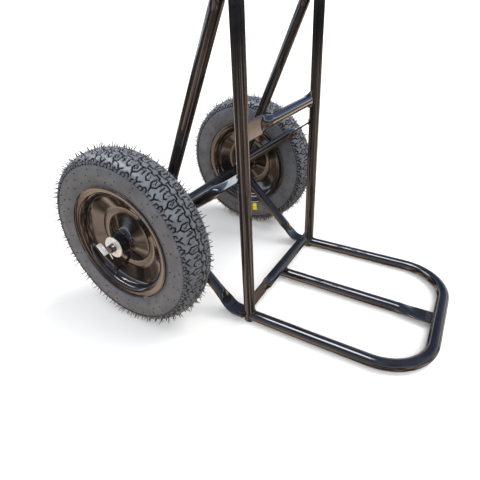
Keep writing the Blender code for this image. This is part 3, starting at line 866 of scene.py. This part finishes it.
def groove_map(shares, distances, wider=0.0):
    """How deep the tread is cut, 0 to 1, over one pitch: rows of shares, columns of distances in mm."""
    pitch_mm = 2 * math.pi * WHEEL_R / TREAD_PITCHES * 1000
    u, v = np.meshgrid(shares * pitch_mm, distances, indexing="ij")
    deepest = np.zeros_like(u)
    for width, line in GROOVES:
        for (u0, v0), (u1, v1) in zip(line, line[1:]):
            for turn in (-1, 0, 1):
                a = np.array([(u0 + turn) * pitch_mm, v0])
                b = np.array([(u1 + turn) * pitch_mm, v1])
                way = b - a
                t = np.clip(((u - a[0]) * way[0] + (v - a[1]) * way[1]) / (way @ way), 0, 1)
                away = np.hypot(u - a[0] - t * way[0], v - a[1] - t * way[1])
                deepest = np.maximum(deepest, 1 - ease((away - wider - width / 2 + 0.35) / 0.9))
    return deepest


def wheel_points(line, angles, hub, outward):
    """(x from the mid-plane, radius) pairs turned to each angle, as (angle, point, 3)."""
    x = hub.x + outward * line[..., 0]
    y = hub.y + line[..., 1] * np.cos(angles)[:, None]
    z = hub.z + line[..., 1] * np.sin(angles)[:, None]
    return np.stack(np.broadcast_arrays(x, y, z), axis=-1)


def tread_pitch():
    """One pitch of tread, shoulder to shoulder: (share, point, 2) pairs, and the painted shade of each,
    in the grooves and along the shoulder line.
    """
    shares = np.arange(PITCH_STEPS) / PITCH_STEPS
    band = TYRE_REACH[:TREAD_LAST + 1] * 1000
    teeth = TOOTH_MM * np.abs(2 * ((shares * TEETH_A_PITCH) % 1) - 1) - TOOTH_MM / 2
    past_edge = band[None, :] - (TREAD_EDGE * 1000 + teeth[:, None])
    outside = ease(past_edge / 1.1)
    shadow = np.exp(-((past_edge - 0.6) / 0.8) ** 2)
    cut = GROOVE_DEPTH * groove_map(shares, band) * (1 - outside)
    depth = cut + TREAD_DROP * outside + 0.0007 * shadow
    dark = np.clip(groove_map(shares, band, wider=GROOVE_SHADE_MM) * (1 - outside) + shadow, 0, 1)
    near = TYRE_CURVE[None, :TREAD_LAST + 1] - TYRE_OUT[None, :TREAD_LAST + 1] * depth[..., None]
    far = np.roll(near, PITCH_STEPS // 2, axis=0) * np.array([-1, 1])
    far_dark = np.roll(dark, PITCH_STEPS // 2, axis=0)
    return (np.concatenate([far[:, :0:-1], near], axis=1),
            np.concatenate([far_dark[:, :0:-1], dark], axis=1))


def make_tread(side, outward, hub, body):
    profile, dark = tread_pitch()
    steps = TREAD_PITCHES * PITCH_STEPS
    angles = 2 * math.pi * np.arange(steps) / steps
    rings = wheel_points(np.tile(profile, (TREAD_PITCHES, 1, 1)), angles, hub, outward)
    # The groove field is painted shade, darkest in the grooves and along the serrated shoulder line.
    fields = {"groove": np.tile(dark, (TREAD_PITCHES, 1)).reshape(-1)}
    add_piece(f"tread_{side}", [skin(rings, around=False, along=True)], TYRE, body,
              crease=75, fields=fields)


def make_sidewalls(side, outward, hub, body):
    """Both walls from the shoulder to the bead, with two raised lines."""
    out = TYRE_OUT[TREAD_LAST - 1:]
    wall = (TYRE_CURVE - TYRE_OUT * TREAD_DROP)[TREAD_LAST - 1:]
    rise = sum(np.exp(-((wall[:, 1] - (WHEEL_R - below)) / width) ** 2) * height
               for below, width, height in SIDEWALL_LINES)
    wall = wall + out * rise[:, None]
    angles = 2 * math.pi * np.arange(180) / 180
    parts = [skin(wheel_points(wall[::2], angles, hub, outward * facing), around=False, along=True)
             for facing in (1, -1)]
    add_piece(f"sidewalls_{side}", parts, TYRE, body, [f"wheel_{side}_tyre"],
              crease=60)


def whisker(rng, hub, outward, share, distance_mm, length, radius):
    """One tapering, curled hair, kept inside the CAD model's box."""
    k = int(np.searchsorted(TYRE_REACH, distance_mm / 1000))
    angle = 2 * math.pi * share / TREAD_PITCHES
    out = Y * math.cos(angle) + Z * math.sin(angle)
    root = hub + X * (outward * TYRE_CURVE[k, 0]) + out * TYRE_CURVE[k, 1]
    way = X * (outward * TYRE_OUT[k, 0]) + out * TYRE_OUT[k, 1]
    root -= way * (TREAD_DROP if distance_mm > TREAD_EDGE * 1000 else 0.0003)
    tangent = X.cross(out)
    tilt = tangent * rng.uniform(-0.35, 0.35) + X * rng.uniform(-0.25, 0.25)
    curl = tangent * rng.uniform(-0.5, 0.5) + X * rng.uniform(-0.3, 0.3)
    first, second = two_across(way + tilt)
    lowest_z = Vector(CAD_BOX[0]).z + radius + 0.0001
    rearmost_y = Vector(CAD_BOX[1]).y - radius - 0.0001
    rings = []
    for t, taper in WHISKER_TAPER:
        point = root + (way + tilt) * (length * t) + curl * (length * t * t * 0.6)
        point.y = min(point.y, rearmost_y)
        point.z = max(point.z, lowest_z)
        rings.append(circle(point, first, second, radius * taper, 6))
    return skin(rings, end_cap=True)


def make_whiskers(side, sign, hub, body):
    """Moulding whiskers on the tread, some torn short, and short nibs on the sidewalls."""
    rng = random.Random(71 if side == "left" else 113)
    parts = []
    for pitch in range(TREAD_PITCHES):
        for facing, shift in ((1, 0.0), (-1, 0.5)):
            for share, distance in WHISKER_SPOTS:
                length = rng.uniform(0.0050, 0.0105)
                if rng.random() < 0.2:
                    length = 0.0018
                place_round = pitch + shift + share + rng.uniform(-0.03, 0.03)
                parts.append(whisker(rng, hub, sign * facing, place_round, distance, length, WHISKER_R))
            for distance in NIB_SPOTS_MM:
                place_round = pitch + rng.uniform(0.2, 0.8)
                length = rng.uniform(0.0010, 0.0018)
                parts.append(whisker(rng, hub, sign * facing, place_round, distance, length,
                                     WHISKER_R * 1.7))
    add_piece(f"whiskers_{side}", parts, BUTYL, body)


# -------- rims and hubs
RIM_SHEET = 0.0018
RIM_LINE = [(0.0170, HUB_R + 0.0006), (0.0152, 0.0216), (0.0125, 0.0242), (0.0030, 0.0482),
            (0.0018, 0.0520), (0.0018, 0.0640), (0.0030, 0.0685), (0.0120, 0.0915), (0.0160, 0.0972),
            (0.0205, 0.0990), (0.0262, 0.1004), (0.0300, 0.1050), (0.0306, 0.1120), (0.0316, 0.1158),
            (0.0333, 0.1170)]


def sheet_outline():
    """The closed outline of the rim's sheet, its far end rounded over."""
    line = np.array(soften(RIM_LINE, 0.32, 3))
    out = side_normals(line) * RIM_SHEET / 2
    one, other = line + out, line - out
    ahead = np.array([out[-1][1], -out[-1][0]])
    nose = [line[-1] + out[-1] * math.cos(angle) + ahead * math.sin(angle)
            for angle in np.linspace(0, math.pi, 7)[1:-1]]
    return list(one) + nose + list(other[::-1])


def make_rims(side, sign, hub, body):
    for name, facing in (("rim_outer", 1), ("rim_inner", -1)):
        profile = [(sign * facing * x, r) for x, r in sheet_outline()]
        node = f"wheel_{side}_{name}"
        add_piece(f"pressed_{node}", [lathe(profile, hub, 144)], RIM_ENAMEL, body, [node],
                  crease=35)


def make_hub(side, sign, hub, body):
    """The hub tube, and its bead to each rim half."""
    half = (HUB_OUT - HUB_IN) / 2
    profile = turned(-half, half, HUB_R, HUB_R - 0.0024, 0.0008)
    centre = on_axle(sign * (HUB_IN + HUB_OUT) / 2)
    node = f"wheel_{side}_hub"
    add_piece(f"turned_{node}", [lathe(profile, centre, 64)], ENAMEL, body, [node],
              crease=25)
    beads = []
    for facing in (1, -1):
        ring = circle(hub + X * facing * 0.0182, Y, Z, HUB_R + 0.0010, 90)
        beads.append(bead(ring, 0.0019, 7 + facing, closed=True, step=0.0013))
    add_piece(f"hub_weld_{side}", beads, WELD, body)


def valve_cap(start, way):
    first, second = two_across(way)
    outline = ((0.0, 0.55), (0.0, 0.92), (0.0005, 1.0), (0.0058, 1.0), (0.0066, 0.92), (0.0070, 0.6),
               (0.0070, 0.05))
    rings = []
    for distance, share in outline:
        ring = []
        for k, angle in enumerate(turns(CAP_SIDES)):
            groove = 0.05 if k % 4 < 2 and share == 1.0 else 0.0
            radius = VALVE_R * share * (1 - groove)
            spoke = first * math.cos(angle) + second * math.sin(angle)
            ring.append(start + way * distance + radius * spoke)
        rings.append(ring)
    return skin(rings)


def make_valve(side, sign, hub, body):
    """A snap-in rubber valve: thick foot, tapering stem, bright thread and a ribbed cap."""
    out = Y * math.cos(VALVE_ANGLE) + Z * math.sin(VALVE_ANGLE)
    root = hub + X * sign * 0.0035 + out * 0.1035
    way = (X * sign * 0.62 - out * 0.78).normalized()
    foot = VALVE_LENGTH * 0.26
    stem = [(0.0, 0.0008), (0.0, VALVE_R), (foot, VALVE_R), (foot + 0.002, VALVE_R * 1.25),
            (foot + 0.004, VALVE_R * 1.2), (foot + 0.006, VALVE_R * 0.95),
            (STEM_END - 0.004, VALVE_R * 0.8), (STEM_END - 0.003, VALVE_R * 0.66),
            (STEM_END, VALVE_R * 0.66), (STEM_END, 0.0008)]
    thread = [(STEM_END - 0.0032, VALVE_R * 0.68), (STEM_END - 0.0030, VALVE_R * 0.80),
              (STEM_END + 0.0002, VALVE_R * 0.80), (STEM_END + 0.0004, VALVE_R * 0.60)]
    node = f"wheel_{side}_valve_stem"
    parts = [lathe(stem, root, 28, axis=way, closed=False)]
    add_piece(f"moulded_{node}", parts, BUTYL, body, [node])
    add_piece(f"valve_thread_{side}", [lathe(thread, root, 28, axis=way)], ZINC, body)
    node = f"wheel_{side}_valve_cap"
    parts = [valve_cap(root + way * (STEM_END + 0.0004), way)]
    add_piece(f"ribbed_{node}", parts, CAP, body, [node], crease=30)


def make_sticker(hub, body):
    """A blank sticker on the right tyre's inboard sidewall."""
    lift, thick = 0.0005, 0.0007
    inside = (TYRE_CURVE[:, 1] < 0.1400) & (TYRE_CURVE[:, 1] > 0.1195)
    patch = (TYRE_CURVE - TYRE_OUT * (TREAD_DROP - lift))[inside]
    middle, half_turn = math.radians(-103.5), 0.052
    angles = np.linspace(middle - half_turn, middle + half_turn, 9)
    top = wheel_points(patch, angles, hub, -1.0)
    under = wheel_points(patch - TYRE_OUT[inside] * thick, angles, hub, -1.0)
    parts = [skin(np.concatenate([top, under[:, ::-1]], axis=1), start_cap=True, end_cap=True)]
    add_piece("sticker_right_tyre", parts, STICKER, body, crease=50)


def make_wheels():
    for side, sign in SIDES.items():
        hub = on_axle(sign * HALF_TRACK)
        body = f"wheel_{side}"
        make_tread(side, sign, hub, body)
        make_sidewalls(side, sign, hub, body)
        make_whiskers(side, sign, hub, body)
        make_rims(side, sign, hub, body)
        make_hub(side, sign, hub, body)
        make_valve(side, sign, hub, body)
    make_sticker(on_axle(HALF_TRACK), "wheel_right")


def finish_hidden_nodes():
    """The bearings and inner tubes keep their CAD shape and take a finish."""
    for name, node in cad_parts.items():
        inner_tube = name.endswith("inner_tube")
        if inner_tube or "race" in name or "balls" in name:
            node.data.materials.clear()
            node.data.materials.append(BUTYL if inner_tube else STEEL)


# -------- studio
def floor_paint():
    """Pale paint that glows a little more the further it lies from the object."""
    made, tree, shader = look("floor_pale", (0.67, 0.67, 0.67), 0.9)
    tree.links.new(ramp(tree, noise(tree, 3, 3), (0.3, 0.66), (0.7, 0.68)), shader.inputs["Base Color"])
    reach = add_node(tree, "VectorMath")
    reach.operation = "LENGTH"
    tree.links.new(place(tree), reach.inputs[0])
    tenth = math_node(tree, "MULTIPLY", reach.outputs["Value"], 0.1)
    glow = ramp(tree, tenth, (0.05, 0.05), (0.35, 0.38), (0.7, 0.75))
    shader.inputs["Emission Color"].default_value = (1, 1, 1, 1)
    tree.links.new(glow, shader.inputs["Emission Strength"])
    return made


def make_floor():
    """A pale round floor that curves up far off. It takes no part in the object's light."""
    flat_r, cove_r, outer_r = 7.0, 3.0, 16.0
    profile = [(0.0, 0.001), (0.0, 3.0), (0.0, flat_r)]
    for angle in np.linspace(0, math.pi / 2, 16)[1:]:
        profile.append((cove_r * (1 - math.cos(angle)), flat_r + cove_r * math.sin(angle)))
    profile.append((outer_r, flat_r + cove_r))
    points, faces = lathe(profile, Vector((0, 0, -0.0006)), 96, axis=Z, closed=False)
    mesh = bpy.data.meshes.new("floor")
    mesh.from_pydata(points.tolist(), [], faces)
    mesh.materials.append(floor_paint())
    mesh.shade_smooth()
    floor = bpy.data.objects.new("floor", mesh)
    bpy.context.scene.collection.objects.link(floor)
    floor.visible_glossy = False
    floor.visible_diffuse = False
    floor.visible_shadow = False


def sun_glare(tree, way):
    sun = add_node(tree, "VectorMath")
    sun.operation = "DOT_PRODUCT"
    sun.inputs[1].default_value = Vector((-0.18, 0.24, 0.95)).normalized()
    tree.links.new(way, sun.inputs[0])
    return ramp(tree, sun.outputs["Value"], (0.960, 0.0), (0.990, 1.0))


def mirrored_sky(tree, way, height):
    """What gloss shows: a blue sky with a bright rim and a sun, a dark horizon, sunlit earth."""
    earth = ramp(tree, noise(tree, 2.8, source=way), (0.41, (0.02, 0.017, 0.015)),
                 (0.52, (0.26, 0.19, 0.145)), (0.62, (1.25, 0.94, 0.73)))
    sky = ramp(tree, noise(tree, 1.8, source=way), (0.35, (0.06, 0.08, 0.14)), (0.68, (0.28, 0.36, 0.54)))
    rim = ramp(tree, height, (0.53, 0.0), (0.56, 1.0), (0.60, 0.15), (0.66, 0.0))
    sky = blend(tree, rim, sky, (1.5, 1.6, 1.7))
    sky = blend(tree, sun_glare(tree, way), sky, (8.2, 8.5, 8.8))
    both = blend(tree, ramp(tree, height, (0.50, 0.0), (0.53, 1.0)), earth, sky)
    off_horizon = ramp(tree, height, (0.43, 1.0), (0.48, 0.1), (0.52, 0.1), (0.55, 1.0))
    return blend(tree, off_horizon, (0.02, 0.02, 0.025), both)


def make_sky():
    """White soft light on the object, and for its gloss an open sky over sunlit earth."""
    world = bpy.data.worlds.new("studio")
    world.use_nodes = True
    tree = world.node_tree
    way = add_node(tree, "TexCoord").outputs["Generated"]
    half = math_node(tree, "MULTIPLY", height_of(tree, way), 0.5)
    height = math_node(tree, "ADD", half, 0.5)
    soft = ramp(tree, height, (0.0, (0.20, 0.16, 0.13)), (0.47, (0.34, 0.30, 0.27)),
                (0.55, (0.95, 0.97, 1.0)), (1.0, (1.0, 1.02, 1.06)))
    mirrored = mirrored_sky(tree, way, height)
    mix = add_node(tree, "MixShader")
    tree.links.new(add_node(tree, "LightPath").outputs["Is Glossy Ray"], mix.inputs["Fac"])
    for colour, strength, socket in ((soft, 0.57, mix.inputs[1]), (mirrored, 1.25, mix.inputs[2])):
        background = add_node(tree, "Background", Strength=strength)
        tree.links.new(colour, background.inputs["Color"])
        tree.links.new(background.outputs["Background"], socket)
    tree.links.new(mix.outputs["Shader"], tree.nodes["World Output"].inputs["Surface"])
    bpy.context.scene.world = world


def add_light(name, kind, location, target, size, power, colour, mirrored=False):
    data = bpy.data.lights.new(name, kind)
    if kind == "SUN":
        data.angle = size
    else:
        data.shape = "DISK"
        data.size = size
    data.energy = power
    data.color = colour
    light = bpy.data.objects.new(name, data)
    light.visible_glossy = mirrored
    light.location = location
    light.rotation_euler = (Vector(target) - Vector(location)).to_track_quat("-Z", "Y").to_euler()
    bpy.context.scene.collection.objects.link(light)


def make_lights():
    """A very broad sun and three round softboxes. Gloss shows only the rear one."""
    sun_width = math.radians(42)
    add_light("key", "SUN", (0.50, -0.45, 1.0), (0, 0, 0), sun_width, 3.0, (1.0, 0.98, 0.95))
    add_light("side_softbox", "AREA", (-2.8, -0.9, 1.9), (0, 0, 0.2), 1.6, 70, (1.0, 0.99, 0.97))
    add_light("rear_softbox", "AREA", (-0.6, 2.8, 3.0), (0, 0, 0.3), 2.0, 45, (0.97, 0.98, 1.0), True)
    add_light("front_softbox", "AREA", (-0.9, -2.9, 2.2), (0, 0, 0.2), 1.8, 60, (0.96, 0.98, 1.0))


def make_camera():
    """The photograph's viewpoint: near the left wheel, looking down and across at the toe."""
    data = bpy.data.cameras.new("camera")
    data.sensor_width = 36.0
    data.lens = 28.26
    data.shift_x = 0.0174
    data.shift_y = -0.0539
    data.clip_start = 0.02
    camera = bpy.data.objects.new("camera", data)
    right = Vector((0.528, -0.848, -0.055)).normalized()
    forward = Vector((0.738, 0.490, -0.463)).normalized()
    up = right.cross(forward).normalized()
    right = forward.cross(up)
    rotation = Matrix((right, up, -forward)).transposed()
    camera.matrix_world = Matrix.Translation((-0.6532, -0.3295, 0.5437)) @ rotation.to_4x4()
    bpy.context.scene.collection.objects.link(camera)
    bpy.context.scene.camera = camera


def main():
    make_camera()
    make_uprights()
    make_grips()
    make_toe_loop()
    make_toe_middle()
    make_crossbars()
    for side in SIDES:
        make_side_brace(side)
        make_side_strut(side)
    make_axle_tube()
    for side in SIDES:
        make_side_welds(side)
    make_toe_welds()
    make_axle_ends()
    make_wheels()
    finish_hidden_nodes()
    make_floor()
    make_sky()
    make_lights()
    bpy.context.scene.view_settings.view_transform = "Standard"


main()
